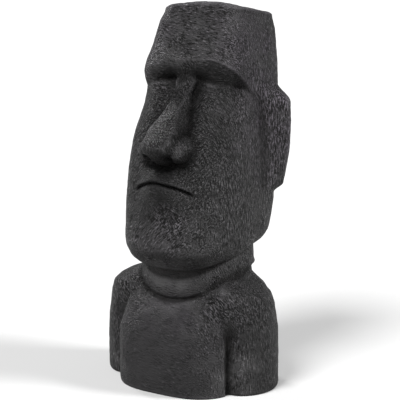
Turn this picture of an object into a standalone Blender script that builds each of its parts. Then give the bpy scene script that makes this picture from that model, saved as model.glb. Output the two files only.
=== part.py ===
"""Moai statue: a garden bust cast in one piece.

The statue looks along -Y and stands on z = 0, with its origin under the middle of its foot. It is one
closed skin: a box with a grid on every face, bent onto a stack of outlines that run from the foot to
the crown. The brow, eye hollows, nose, mouth, chin and ears are then worked into that skin.
Every size below is in millimetres and is scaled to metres when the mesh is made.
"""

import math
from dataclasses import astuple, dataclass

import bmesh
import bpy
import numpy as np

MM = 0.001
NAME = "moai_statue"

# Grid of the skin: faces across the front, faces from front to back, and rows from foot to crown.
ACROSS = 22
DEEP = 16
ROWS = 56

COLOUR = (0.045, 0.044, 0.046, 1.0)
ROUGHNESS = 0.62


@dataclass(frozen=True)
class Section:
    """One outline of the body, the neck or the head.

    level is its height at the axis, width its half breadth and middle the Y where it is broadest.
    front and back are its two ends in Y, and front_square and back_square the superellipse exponents
    of its two halves. slope is its rise towards the back and lift its rise towards the sides.
    """

    level: float
    width: float
    middle: float
    front: float
    back: float
    front_square: float
    back_square: float
    slope: float
    lift: float


SECTIONS = (
    # Torso: foot edge, foot, elbows, chest, armpits, shoulders, shoulder tops, crease at the collar.
    Section(0, 102, 0, -100, 99, 3.0, 3.0, 0.0, 0),
    Section(3, 103, 0, -101, 101, 3.0, 3.0, 0.0, 0),
    Section(55, 103, 0, -102, 101, 3.0, 3.0, 0.0, 0),
    Section(90, 102, 0, -100, 100, 3.0, 2.9, 0.0, 3),
    Section(112, 99, 2, -93, 98, 3.0, 2.8, 0.0, 8),
    Section(129, 94, 6, -82, 97, 2.9, 2.7, 0.01, 21),
    Section(140, 88, 12, -70, 99, 2.7, 2.6, 0.04, 27),
    Section(150, 80, 18, -55, 102, 2.5, 3.4, 0.09, 27),
    # Neck: foot, middle, crease under the jaw.
    Section(155, 82, 21, -58, 111, 2.5, 3.5, 0.09, 27),
    Section(172, 82, 23, -60, 111, 2.5, 3.0, 0.09, 23),
    Section(197, 80.5, 27, -58, 111, 2.5, 3.0, 0.11, 13),
    # Jaw: three steps of its rounded underside, then its full width.
    Section(206, 82, 29, -67, 114, 2.6, 3.3, 0.13, 8),
    Section(214, 90.5, 31, -79, 122, 2.7, 3.8, 0.13, 5),
    Section(228, 96, 34, -87, 130, 2.8, 4.0, 0.13, 2),
    Section(246, 98, 37, -92, 132, 2.9, 4.2, 0.13, 0),
    # Head: chin, mouth, nostrils, cheeks, eyes, brow, forehead.
    Section(300, 101, 44, -84, 134, 3.0, 4.4, 0.10, 0),
    Section(352, 101, 50, -74, 139, 3.0, 4.6, 0.06, 0),
    Section(404, 97, 57, -56, 146, 3.1, 4.8, 0.02, 0),
    Section(454, 92, 65, -38, 155, 3.4, 5.0, -0.03, 0),
    Section(492, 88.5, 72, -24, 161, 4.1, 5.0, -0.07, 0),
    Section(529, 81.5, 80, 1, 167, 4.9, 5.0, -0.11, 0),
    Section(561, 74.5, 88, 15, 169, 5.7, 5.2, -0.15, -1),
    # Crown: rounded edge.
    Section(580, 69.8, 92, 22, 169, 5.4, 5.4, -0.16, -4),
    Section(587, 69, 93, 25, 168, 5.4, 5.4, -0.16, -5.5),
    Section(590.5, 65, 93, 30, 164, 5.2, 5.2, -0.16, -6),
)


# The chest is fuller on the statue's left: its half breadth there grows, and shrinks on the right, by this.
LEAN_LEVELS = (0.0, 90.0, 118.0, 136.0, 150.0)
LEANS = (4.0, 4.0, 7.0, 7.0, 0.0)


@dataclass(frozen=True)
class ArmSection:
    """One level of the upper arms' columns: distance from the axis, half breadth, half depth, middle Y."""

    level: float
    apart: float
    width: float
    depth: float
    middle: float


ARM_SECTIONS = (
    ArmSection(0, 95, 53, 59, 10),
    ArmSection(3, 95, 55, 61, 10),
    ArmSection(55, 95, 54, 61, 10),
    ArmSection(90, 95, 53, 60, 10),
    ArmSection(112, 92, 52, 59, 9),
    ArmSection(121, 91, 50.5, 58, 8),
    ArmSection(129, 87, 48.5, 57, 6),
    ArmSection(140, 71, 39.5, 53, 5),
    ArmSection(149, 54, 30, 46, 5),
    ArmSection(155, 34, 20, 34, 5),
)

# Soft fill between arm and chest, at the elbows and at the armpits, and the groove worked into it.
ARM_FILL_LEVELS = (70.0, 125.0)
ARM_FILL = (6.0, 26.0)
ARM_GROOVE_DEPTH = 6.0
ARM_GROOVE_REACH = 18.0

# The crown bulges up a little and slants to the side, the slant fading in over the forehead.
CROWN_DOME = 4.0
CROWN_ROLL = 0.042
CROWN_LEVELS = (540.0, 580.0)
DOME_LEVELS = (300.0, 400.0)

# The skin's columns are aimed at an outline of these half sizes, and drawn together towards the nose.
AIM_WIDTH = 100.0
AIM_DEPTH = 92.0
COLUMN_DRAW = 0.48

# A place round the head is its distance to the side plus this share of its distance behind the front.
WRAP_SHARE = 0.6

# The face reaches back this far from the front of each outline, and the hollows reach round to the temples.
FACE_DEPTH = 60.0
FACE_FADE = 90.0
TEMPLES = (120.0, 140.0)

# The brow's lower edge and the crease of the eye hollow fall away round the head, from turn to end.
BROW_EDGE = 517.0
BROW_EDGE_FALL = 48.0
BROW_EDGE_BEND = 1.5
CREASE = 482.0
CREASE_FALL = 16.0
CREASE_BEND = 3.0
BROW_TURN = 60.0
BROW_END = 131.0

# Eye hollow: its depth, and the height and curve of the cheek under it, from the nose to the temple.
HOLLOW_DEPTHS = (30.5, 12.0)
HOLLOW_SPAN = (30.0, 125.0)
HOLLOW_ENDS = (116.0, 138.0)
CHEEK_HEIGHTS = (88.0, 84.0)
CHEEK_SPAN = (40.0, 95.0)
CHEEK_POWERS = (1.3, 1.8)
CHEEK_TURN = (20.0, 52.0)
CHEEK_HOLD = 0.10
HOOD_LEAST = 4.0
HOOD_POWERS = (1.3, 0.85)
HOOD_SPAN = (24.0, 54.0)

# On the statue's right the crease lies lower, and the hollow is shallower and has a steeper cheek.
RIGHT_BLEND = (8.0, -14.0)
RIGHT_CREASE_DROP = 8.0
RIGHT_CREASE_MIDDLE = 98.0
RIGHT_CREASE_REACH = 45.0
RIGHT_SHARE = 0.50
RIGHT_SPAN = (20.0, 98.0)
RIGHT_CHEEK_POWER = 2.2

# The nose from its foot over its tip to the forehead: levels, height of its ridge and its half breadth.
NOSE_LEVELS = (342, 352, 361, 372, 385, 391, 398, 412, 430, 450, 470, 483, 498, 515, 540)
NOSE_RIDGE = (-20, -6, 11, 31, 47, 49, 46, 33, 17, 0, -14, -17, -12, -2, -14)
NOSE_HALF = (10, 10, 12, 16, 18, 18, 18, 17, 14, 11, 12, 14, 14, 12, 10)
NOSE_STEEPNESS = (2.2, 0.6)
NOSE_FILL = (8.0, 14.0)
NOSE_ROOT = (470.0, 505.0)
NOSE_ROUNDING = (0.016, 0.006)
NOSE_TIP = (392.0, 425.0)
WING_HEIGHT = 24.0
WING_APART = 22.0
WING_LEVEL = 378.0
WING_BREADTH = 24.0
WING_RISE = 27.0

# Muzzle and chin: how far each stands forward, its half breadth, and where it rises and falls.
MUZZLE = 24.0
MUZZLE_BREADTH = 54.0
MUZZLE_LEVELS = (262.0, 326.0, 337.0, 360.0)
CHIN = 5.0
CHIN_BREADTH = 80.0
CHIN_LEVELS = (210.0, 235.0, 255.0, 300.0)

# The line of the mouth: its level at the middle, how far it droops to its ends, and its groove.
MOUTH_LEVEL = 337.0
MOUTH_DROOP = 17.0
MOUTH_BOW = 1.4
MOUTH_HALF = 47.0
MOUTH_FADE = (44.0, 56.0)
MOUTH_DEPTH = 5.0
MOUTH_REACH = 9.0

# Ears: where they rise and fall from front to back and from lobe to top, and how far they stand out.
EAR_ALONG = (62.0, 116.0, 119.0, 133.0)
EAR_UPRIGHT = (295.0, 312.0, 442.0, 477.0)
EAR_LEVELS = (300.0, 340.0, 414.0, 470.0)
EAR_STANDS = (17.5, 22.6, 28.4, 27.5)

# Rows lie this much closer together between the mouth and the brow.
FACE_ROWS = 1.6
FACE_ROWS_LEVELS = (270.0, 320.0, 500.0, 540.0)
PATH_STEPS = 2000


def smooth(low, high, value):
    """Rise smoothly from 0 at low to 1 at high."""
    part = np.clip((value - low) / (high - low), 0.0, 1.0)
    return part * part * (3.0 - 2.0 * part)


def plateau(levels, value):
    """Rise smoothly from 0 to 1 between the first two levels and fall back between the last two."""
    return smooth(levels[0], levels[1], value) * smooth(levels[3], levels[2], value)


def change(ends, span, value):
    """Change smoothly from the first end to the second over the span."""
    return ends[0] + (ends[1] - ends[0]) * smooth(*span, value)


def bell(value, middle, reach):
    """Rise smoothly from 0 to 1 at the middle, and fall back within reach on either side."""
    part = np.clip(np.abs(value - middle) / reach, 0.0, 1.0)
    return 0.5 + 0.5 * np.cos(math.pi * part)


def larger(first, second, soft):
    """Return the larger value, with the corner between the two filled over soft."""
    gap = np.clip(soft - np.abs(first - second), 0.0, None)
    return np.maximum(first, second) + gap * gap / (4.0 * soft)


def section_slopes(table):
    """Return slopes for a curve through the table's rows that never overshoots them."""
    steps = np.diff(table, axis=0)
    before, after = steps[:-1], steps[1:]
    same_way = before * after > 0.0
    total = np.where(same_way, before + after, 1.0)
    inner = np.where(same_way, 2.0 * before * after / total, 0.0)
    return np.vstack((steps[:1], inner, steps[-1:]))


def section_at(place):
    """Return a Section of arrays at places counted in sections from the foot."""
    table = np.array([astuple(section) for section in SECTIONS])
    slopes = section_slopes(table)
    low = np.clip(np.floor(place).astype(int), 0, len(table) - 2)
    part = (place - low)[:, None]
    ease = part * part * (3.0 - 2.0 * part)
    leave = part * (1.0 - part) ** 2
    arrive = part * part * (part - 1.0)
    rows = table[low] * (1.0 - ease) + table[low + 1] * ease
    rows = rows + slopes[low] * leave + slopes[low + 1] * arrive
    return Section(*rows.T)


def row_places():
    """Return the rows' places, spaced by the length of the front and side, closer over the face."""
    place = np.linspace(0.0, len(SECTIONS) - 1.0, PATH_STEPS)
    cut = section_at(place)
    side = np.maximum(cut.width, arm_reach(cut.level))
    rise = cut.level + cut.slope * (cut.front - cut.middle)
    front_steps = np.hypot(np.diff(cut.front), np.diff(rise))
    side_steps = np.hypot(np.diff(side), np.diff(cut.level + cut.lift))
    closer = 1.0 + (FACE_ROWS - 1.0) * plateau(FACE_ROWS_LEVELS, cut.level[1:])
    path = np.concatenate(([0.0], np.cumsum((front_steps + side_steps) * closer)))
    return np.interp(np.linspace(0.0, path[-1], ROWS + 1), path, place)


def arm_sizes(level):
    """Return how far apart, broad and deep the arms' columns are at a level, and their middle Y."""
    table = np.array([astuple(section) for section in ARM_SECTIONS]).T
    return [np.interp(level, table[0], column) for column in table[1:]]


def arm_reach(level):
    """Return how far the arms reach to the side at a level."""
    apart, width, _, _ = arm_sizes(level)
    return apart + width


def oval_radius(cosine, sine, width, depth, square):
    """Return how far a superellipse lies from its middle in a direction."""
    return (np.abs(cosine / width) ** square + np.abs(sine / depth) ** square) ** (-1.0 / square)


def arm_radius(cosine, sine, level, axis):
    """Return how far the outer side of an arm's column lies from the body's middle, at Y = axis."""
    apart, width, depth, middle = arm_sizes(level)
    offset = middle - axis
    reach = np.abs(cosine)
    a = (reach / width) ** 2 + (sine / depth) ** 2
    b = reach * apart / width ** 2 + sine * offset / depth ** 2
    c = (apart / width) ** 2 + (offset / depth) ** 2 - 1.0
    inside = np.clip(b * b - a * c, 0.0, None)
    met = (inside > 0.0) & (level < ARM_SECTIONS[-1].level)
    return np.where(met, (b + np.sqrt(inside)) / a, 0.0)


class Skin:
    """Points of the statue's skin, with what the carving steps need to know about them."""

    def __init__(self, cosine, sine, place):
        """Lay the points on the plain body at their places and in their directions."""
        cut = section_at(place)
        middle = cut.middle
        depth = np.where(sine < 0.0, middle - cut.front, cut.back - middle)
        square = np.where(sine < 0.0, cut.front_square, cut.back_square)
        width = cut.width + np.sign(cosine) * np.interp(cut.level, LEAN_LEVELS, LEANS)
        body = oval_radius(cosine, sine, width, depth, square)
        arms = arm_radius(cosine, sine, cut.level, middle)
        fill = np.interp(cut.level, ARM_FILL_LEVELS, ARM_FILL)
        groove = bell(body, arms, ARM_GROOVE_REACH) * smooth(*ARM_FILL_LEVELS[::-1], cut.level)
        radius = larger(body, arms, fill) - ARM_GROOVE_DEPTH * groove
        self.x = radius * cosine
        self.y = middle + radius * sine
        side_rise = cut.lift * np.clip(np.abs(self.x) / cut.width, 0.0, 1.0) ** 2
        roll = CROWN_ROLL * smooth(*CROWN_LEVELS, cut.level) * self.x
        self.z = cut.level + cut.slope * (self.y - middle) + side_rise + roll
        self.middle = middle
        self.level = cut.level
        self.behind = self.y - cut.front
        self.wrap = np.abs(self.x) + WRAP_SHARE * self.behind
        normal_x = np.sign(cosine) * np.abs(body * cosine / width) ** (square - 1.0) / width
        normal_y = np.sign(sine) * np.abs(body * sine / depth) ** (square - 1.0) / depth
        length = np.hypot(normal_x, normal_y)
        self.normal_x = normal_x / length
        self.normal_y = normal_y / length

    def push_out(self, distance):
        """Move the points out of the head, level and square to its outline."""
        self.x = self.x + self.normal_x * distance
        self.y = self.y + self.normal_y * distance

    def push_forward(self, distance):
        """Move the points of the face straight forward."""
        self.y = self.y - distance * smooth(FACE_FADE, FACE_DEPTH, self.behind)

    def hollow_depth(self):
        """Return how deep the hollows under the brow are, from the nose round to the temples."""
        turned = np.clip((self.wrap - BROW_TURN) / (BROW_END - BROW_TURN), 0.0, None)
        right = smooth(*RIGHT_BLEND, self.x)
        drop = RIGHT_CREASE_DROP * bell(self.wrap, RIGHT_CREASE_MIDDLE, RIGHT_CREASE_REACH) * right
        edge = BROW_EDGE - BROW_EDGE_FALL * turned ** BROW_EDGE_BEND
        crease = CREASE - CREASE_FALL * turned ** CREASE_BEND - drop
        under = np.clip((edge - self.z) / np.maximum(edge - crease, HOOD_LEAST), 0.0, 1.0)
        below = np.clip((crease - self.z) / change(CHEEK_HEIGHTS, CHEEK_SPAN, self.wrap), 0.0, 1.0)
        hood = under ** change(HOOD_POWERS, HOOD_SPAN, self.wrap)
        power = change(CHEEK_POWERS, CHEEK_TURN, self.wrap)
        inner = (1.0 - below) ** (power + (RIGHT_CHEEK_POWER - power) * right)
        outer = smooth(1.0, CHEEK_HOLD, below)
        cheek = inner + (outer - inner) * smooth(*CHEEK_SPAN, self.wrap)
        shallower = 1.0 - (1.0 - RIGHT_SHARE) * smooth(*RIGHT_SPAN, self.wrap) * right
        deepest = change(HOLLOW_DEPTHS, HOLLOW_SPAN, self.wrap) * smooth(*HOLLOW_ENDS[::-1], self.wrap)
        return deepest * shallower * np.where(self.z > crease, hood, cheek)

    def nose_ridge(self):
        """Return how far the ridge of the nose stands before the plain face."""
        flank = np.clip(np.abs(self.x) - np.interp(self.z, NOSE_LEVELS, NOSE_HALF), 0.0, None)
        ridge = np.interp(self.z, NOSE_LEVELS, NOSE_RIDGE)
        steepness = change(NOSE_STEEPNESS, NOSE_ROOT, self.z)
        return ridge - steepness * flank - change(NOSE_ROUNDING, NOSE_TIP, self.z) * self.x ** 2

    def nose_wings(self):
        """Return how far the wings of the nose stand before the plain face."""
        aside = (np.abs(self.x) - WING_APART) / WING_BREADTH
        above = (self.z - WING_LEVEL) / WING_RISE
        return WING_HEIGHT * bell(np.hypot(aside, above), 0.0, 1.0)

    def carve_face(self):
        """Sink the eye hollows and raise the nose in the middle of them."""
        plain = self.nose_wings() - self.hollow_depth()
        nosed = larger(plain, self.nose_ridge(), change(NOSE_FILL, NOSE_ROOT, self.z))
        fading = plain * smooth(*TEMPLES[::-1], self.behind)
        self.push_out(np.where(self.behind < FACE_DEPTH, nosed, fading))

    def carve_mouth(self):
        """Raise the muzzle, cut the frowning line of the mouth and round the chin."""
        muzzle = MUZZLE * bell(self.x, 0.0, MUZZLE_BREADTH) * plateau(MUZZLE_LEVELS, self.z)
        chin = CHIN * bell(self.x, 0.0, CHIN_BREADTH) * plateau(CHIN_LEVELS, self.z)
        line = MOUTH_LEVEL - MOUTH_DROOP * (np.abs(self.x) / MOUTH_HALF) ** MOUTH_BOW
        groove = MOUTH_DEPTH * bell(self.z, line, MOUTH_REACH) * smooth(*MOUTH_FADE[::-1], np.abs(self.x))
        self.push_forward(muzzle + chin - groove)

    def carve_ears(self):
        """Raise the long ears as slabs on the sides of the head."""
        slab = plateau(EAR_ALONG, self.y) * plateau(EAR_UPRIGHT, self.z)
        self.x = self.x + self.normal_x * slab * np.interp(self.z, EAR_LEVELS, EAR_STANDS)

    def close_ends(self, inset):
        """Draw the points of the crown and the foot in towards the axis."""
        self.x = self.x * inset
        self.y = self.middle + (self.y - self.middle) * inset
        dome = CROWN_DOME * smooth(*DOME_LEVELS, self.level) * (1.0 - inset ** 2)
        self.z = self.level + (self.z - self.level) * inset + dome

    def points(self):
        """Return the points in metres."""
        return np.stack((self.x, self.y, self.z), axis=1) * MM


def gridded_box():
    """Return a box of side 2 whose faces carry the grid of the skin."""
    box = bmesh.new()
    bmesh.ops.create_cube(box, size=2.0)
    for axis, faces in enumerate((ACROSS, DEEP, ROWS)):
        along = [edge for edge in box.edges if abs(edge.verts[0].co[axis] - edge.verts[1].co[axis]) > 1.0]
        bmesh.ops.subdivide_edges(box, edges=along, cuts=faces - 1, use_grid_fill=True)
    return box


def bend_box(box):
    """Bend the gridded box onto the statue's skin."""
    across, deep, up = np.array([vert.co for vert in box.verts]).T
    inset = np.maximum(np.abs(across), np.abs(deep))
    drawn = across * (1.0 - COLUMN_DRAW * (1.0 - across * across))
    run_x = np.where(inset > 0.0, drawn, 1.0) * AIM_WIDTH
    run_y = deep * AIM_DEPTH
    length = np.hypot(run_x, run_y)
    place = np.interp(0.5 * (up + 1.0) * ROWS, np.arange(ROWS + 1), row_places())
    skin = Skin(run_x / length, run_y / length, place)
    skin.carve_face()
    skin.carve_mouth()
    skin.carve_ears()
    skin.close_ends(inset)
    for vert, point in zip(box.verts, skin.points()):
        vert.co = point


def stone_material():
    """Return the dark cast stone of the statue."""
    material = bpy.data.materials.new("dark_cast_stone")
    material.use_nodes = True
    shader = material.node_tree.nodes["Principled BSDF"]
    shader.inputs["Base Color"].default_value = COLOUR
    shader.inputs["Roughness"].default_value = ROUGHNESS
    shader.inputs["Metallic"].default_value = 0.0
    return material


def build_statue(collection):
    """Make the statue's object in the collection."""
    box = gridded_box()
    bend_box(box)
    bmesh.ops.recalc_face_normals(box, faces=box.faces)
    mesh = bpy.data.meshes.new(NAME)
    box.to_mesh(mesh)
    box.free()
    mesh.shade_smooth()
    mesh.materials.append(stone_material())
    statue = bpy.data.objects.new(NAME, mesh)
    collection.objects.link(statue)
    return statue


def main():
    """Clear the scene and build the statue."""
    for item in list(bpy.data.objects):
        bpy.data.objects.remove(item, do_unlink=True)
    collection = bpy.data.collections.new(NAME)
    bpy.context.scene.collection.children.link(collection)
    build_statue(collection)


if __name__ == "__main__":
    main()
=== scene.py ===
"""Moai statue: a garden bust cast in one piece of dark stone, on a pale studio floor.

The statue looks along -Y and stands on z = 0, with its origin under the middle of its foot. Its skin is
a box with a grid on every face, bent onto a stack of outlines from the foot to the crown. Each feature
of the carving is then worked into that skin, followed by the lumps and the marks of the tools.
Sizes are in millimetres, and are scaled to metres when the mesh is made.
"""

import logging
import math
from dataclasses import astuple, dataclass, field
from enum import Enum
from typing import Any

import bmesh
import bpy
import numpy as np
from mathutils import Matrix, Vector, noise

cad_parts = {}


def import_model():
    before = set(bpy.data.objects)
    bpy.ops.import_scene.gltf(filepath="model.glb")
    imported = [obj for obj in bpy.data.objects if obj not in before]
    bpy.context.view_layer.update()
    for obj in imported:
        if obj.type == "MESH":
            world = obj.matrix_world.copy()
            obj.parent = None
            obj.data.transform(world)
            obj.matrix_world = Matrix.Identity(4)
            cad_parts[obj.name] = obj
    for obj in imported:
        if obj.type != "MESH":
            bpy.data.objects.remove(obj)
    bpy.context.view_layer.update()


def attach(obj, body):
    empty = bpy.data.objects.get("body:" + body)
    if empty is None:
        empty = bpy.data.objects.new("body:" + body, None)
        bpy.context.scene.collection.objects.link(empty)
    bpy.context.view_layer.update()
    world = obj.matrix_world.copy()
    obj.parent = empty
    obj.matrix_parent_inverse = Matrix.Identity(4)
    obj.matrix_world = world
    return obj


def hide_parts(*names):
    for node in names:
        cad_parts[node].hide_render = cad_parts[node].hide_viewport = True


LOG = logging.getLogger("moai")
MM = 0.001
NODE = "moai_statue"
BODY = "root"

Field = np.ndarray
Pair = tuple[float, float]
Triple = tuple[float, float, float]
Levels = tuple[float, float, float, float]
Row = tuple[float, ...]
Colour = Triple


def smooth(low: float | Field, high: float | Field, value: Field) -> Field:
    """Rise smoothly from 0 at low to 1 at high.

    Args:
        low: Where the rise starts.
        high: Where the rise ends; below low, the value falls instead.
        value: The places to read it at.

    Returns:
        The share of the rise at each place.
    """
    part = np.clip((value - low) / (high - low), 0.0, 1.0)
    return part * part * (3.0 - 2.0 * part)


def blend(first: Any, second: Any, share: Any) -> Any:
    """Return the first value where the share is 0, the second where it is 1, and a mixture between."""
    return first + (second - first) * share


def plateau(levels: Levels, value: Field) -> Field:
    """Rise smoothly between the first two levels and fall back between the last two.

    Args:
        levels: Start and end of the rise, then start and end of the fall.
        value: The places to read it at.

    Returns:
        The height, from 0 to 1, at each place.
    """
    return smooth(levels[0], levels[1], value) * smooth(levels[3], levels[2], value)


def change(ends: Pair, span: Pair, value: Field) -> Field:
    """Change smoothly from one value to another.

    Args:
        ends: The values before and after the change.
        span: Where the change starts and ends.
        value: The places to read it at.

    Returns:
        The changing value at each place.
    """
    return blend(*ends, smooth(*span, value))


def bell(distance: Field, reach: float | Field) -> Field:
    """Fall smoothly from 1 at no distance to 0 at the reach.

    Args:
        distance: How far each place lies from the bell's middle.
        reach: Where the bell ends.

    Returns:
        The height, from 0 to 1, at each place.
    """
    return 0.5 + 0.5 * np.cos(math.pi * np.clip(np.abs(distance) / reach, 0.0, 1.0))


def larger(first: Field, second: Field, soft: float | Field) -> Field:
    """Return the larger of two fields, with the corner between them filled.

    Args:
        first: One field.
        second: The other field.
        soft: The difference over which the corner is filled.

    Returns:
        The larger value at each place.
    """
    gap = np.clip(soft - np.abs(first - second), 0.0, None)
    return np.maximum(first, second) + gap * gap / (4.0 * soft)


def read(items: bpy.types.bpy_prop_collection, name: str, columns: int, kind: type) -> Field:
    """Read one property of all the points or edges of a mesh.

    Args:
        items: The points or edges.
        name: The property's name.
        columns: How many numbers each of them holds.
        kind: The type of the numbers.

    Returns:
        The numbers, one row for each point or edge.
    """
    values = np.empty(len(items) * columns, dtype=kind)
    items.foreach_get(name, values)
    return values.reshape(-1, columns)


@dataclass(frozen=True)
class Section:
    """One outline of the body, the neck or the head.

    level is its height at the axis, width its half breadth and middle the Y where it is broadest.
    front and back are its two ends in Y, and front_square and back_square the superellipse exponents
    of its two halves. slope is its rise towards the back and lift its rise towards the sides.
    """

    level: float
    width: float
    middle: float
    front: float
    back: float
    front_square: float
    back_square: float
    slope: float
    lift: float


@dataclass(frozen=True)
class Body:
    """The plain body: a stack of outlines from the foot to the crown.

    At the heights lean_levels, the torso reaches further out by leans on the statue's left, and less far
    by as much on its right.
    """

    lean_levels: Row = (0.0, 90.0, 118.0, 136.0, 150.0)
    leans: Row = (4.0, 4.0, 7.0, 7.0, 0.0)
    sections: tuple[Section, ...] = (
        # Torso: foot edge, foot, elbows, chest, armpits, shoulders, shoulder tops, collar crease.
        Section(0, 102, 0, -100, 99, 3.0, 3.0, 0.0, 0),
        Section(3, 103, 0, -101, 101, 3.0, 3.0, 0.0, 0),
        Section(55, 103, 0, -102, 101, 3.0, 3.0, 0.0, 0),
        Section(90, 102, 0, -100, 100, 3.0, 2.9, 0.0, 3),
        Section(112, 99, 2, -93, 98, 3.0, 2.8, 0.0, 8),
        Section(129, 94, 6, -82, 97, 2.9, 2.7, 0.01, 21),
        Section(140, 88, 12, -70, 99, 2.7, 2.6, 0.04, 27),
        Section(150, 80, 18, -55, 102, 2.5, 3.4, 0.09, 27),
        # Neck: foot, middle, crease under the jaw.
        Section(155, 82, 21, -58, 111, 2.5, 3.5, 0.09, 27),
        Section(172, 82, 23, -60, 111, 2.5, 3.0, 0.09, 23),
        Section(197, 80.5, 27, -58, 111, 2.5, 3.0, 0.11, 13),
        # Jaw: three steps of its rounded underside, then its full width.
        Section(206, 82, 29, -67, 114, 2.6, 3.3, 0.13, 8),
        Section(214, 90.5, 31, -79, 122, 2.7, 3.8, 0.13, 5),
        Section(228, 96, 34, -87, 130, 2.8, 4.0, 0.13, 2),
        Section(246, 98, 37, -92, 132, 2.9, 4.2, 0.13, 0),
        # Head: chin, mouth, nostrils, cheeks, eyes, brow, forehead.
        Section(300, 101, 44, -84, 134, 3.0, 4.4, 0.10, 0),
        Section(352, 101, 50, -74, 139, 3.0, 4.6, 0.06, 0),
        Section(404, 97, 57, -56, 146, 3.1, 4.8, 0.02, 0),
        Section(454, 92, 65, -38, 155, 3.4, 5.0, -0.03, 0),
        Section(492, 88.5, 72, -24, 161, 4.1, 5.0, -0.07, 0),
        Section(529, 81.5, 80, 1, 167, 4.9, 5.0, -0.11, 0),
        Section(561, 74.5, 88, 15, 169, 5.7, 5.2, -0.15, -1),
        # Crown: rounded edge.
        Section(580, 69.8, 92, 22, 169, 5.4, 5.4, -0.16, -4),
        Section(587, 69, 93, 25, 168, 5.4, 5.4, -0.16, -5.5),
        Section(590.5, 65, 93, 30, 164, 5.2, 5.2, -0.16, -6),
    )

    def table(self) -> Field:
        """Return the sections as rows of numbers."""
        return np.array([astuple(section) for section in self.sections], dtype=float)

    def width(self, cut: Section, side: Field) -> Field:
        """Return the outline's half breadth on one side: the sign of side is that of X there."""
        return cut.width + np.sign(side) * np.interp(cut.level, self.lean_levels, self.leans)

    def slopes(self) -> Field:
        """Return the slopes of a curve through the sections that never overshoots them.

        Returns:
            One row of slopes for each section.
        """
        steps = np.diff(self.table(), axis=0)
        before, after = steps[:-1], steps[1:]
        same_way = before * after > 0.0
        total = np.where(same_way, before + after, 1.0)
        inner = np.where(same_way, 2.0 * before * after / total, 0.0)
        return np.vstack((steps[:1], inner, steps[-1:]))

    def at(self, place: Field) -> Section:
        """Read the outline between sections.

        Args:
            place: Places counted in sections from the foot.

        Returns:
            A section whose sizes are arrays, one value for each place.
        """
        table = self.table()
        slopes = self.slopes()
        low = np.clip(np.floor(place).astype(int), 0, len(table) - 2)
        part = (place - low)[:, None]
        leave = part * (1.0 - part) ** 2
        arrive = part * part * (part - 1.0)
        rows = blend(table[low], table[low + 1], smooth(0.0, 1.0, part))
        rows = rows + slopes[low] * leave + slopes[low + 1] * arrive
        return Section(*rows.T)


@dataclass(frozen=True)
class ArmSection:
    """One level of the upper arms' columns: distance from the axis, half breadth, half depth and middle Y."""

    level: float
    apart: float
    width: float
    depth: float
    middle: float


@dataclass(frozen=True)
class Arms:
    """The upper arms: oval columns that stand half out of the body's sides.

    fill is how softly they join the body at the two fill_levels. The groove that is cut where they
    meet the body has its full depth up to the first of them, and ends at the second.
    """

    fill_levels: Pair = (70.0, 125.0)
    fill: Pair = (6.0, 26.0)
    groove_depth: float = 6.0
    groove_reach: float = 18.0
    sections: tuple[ArmSection, ...] = (
        ArmSection(0, 95, 53, 59, 10),
        ArmSection(3, 95, 55, 61, 10),
        ArmSection(55, 95, 54, 61, 10),
        ArmSection(90, 95, 53, 60, 10),
        ArmSection(112, 92, 52, 59, 9),
        ArmSection(121, 91, 50.5, 58, 8),
        ArmSection(129, 87, 48.5, 57, 6),
        ArmSection(135, 80, 44, 56, 5.5),
        ArmSection(140, 71, 39.5, 53, 5),
        ArmSection(149, 54, 30, 46, 5),
        ArmSection(155, 34, 20, 34, 5),
    )

    def sizes(self, level: Field) -> list[Field]:
        """Return how far apart, broad and deep the arms are at each level, and where their middle lies."""
        table = np.array([astuple(section) for section in self.sections], dtype=float).T
        return [np.interp(level, table[0], column) for column in table[1:]]

    def reach(self, level: Field) -> Field:
        """Return how far the arms reach to the side at each level."""
        apart, width, _, _ = self.sizes(level)
        return apart + width

    def radius(self, cosine: Field, sine: Field, level: Field, axis: Field) -> Field:
        """Find the outer side of the arm in a direction from the body's middle.

        Args:
            cosine: The direction's share to the side.
            sine: The direction's share to the back.
            level: The height to read the arm at.
            axis: The Y of the body's middle.

        Returns:
            The distance to the arm's outer side, or 0 where the direction misses it.
        """
        apart, width, depth, middle = self.sizes(level)
        offset = middle - axis
        side = np.abs(cosine)
        # A point at distance r lies on the oval where bend * r ** 2 - 2 * lean * r + rest = 0.
        bend = (side / width) ** 2 + (sine / depth) ** 2
        lean = side * apart / width ** 2 + sine * offset / depth ** 2
        rest = (apart / width) ** 2 + (offset / depth) ** 2 - 1.0
        inside = np.clip(lean * lean - bend * rest, 0.0, None)
        met = (inside > 0.0) & (level < self.sections[-1].level)
        return np.where(met, (lean + np.sqrt(inside)) / bend, 0.0)

    def join(self, body: Field, arms: Field, level: Field) -> Field:
        """Join the arms to the body, with a soft fill and a groove where they meet.

        Args:
            body: The radius of the body in each direction.
            arms: The radius of the arm in each direction.
            level: The height of each point.

        Returns:
            The radius of the joined outline.
        """
        fill = np.interp(level, self.fill_levels, self.fill)
        fade = smooth(self.fill_levels[1], self.fill_levels[0], level)
        groove = bell(body - arms, self.groove_reach) * fade
        return larger(body, arms, fill) - self.groove_depth * groove


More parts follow.
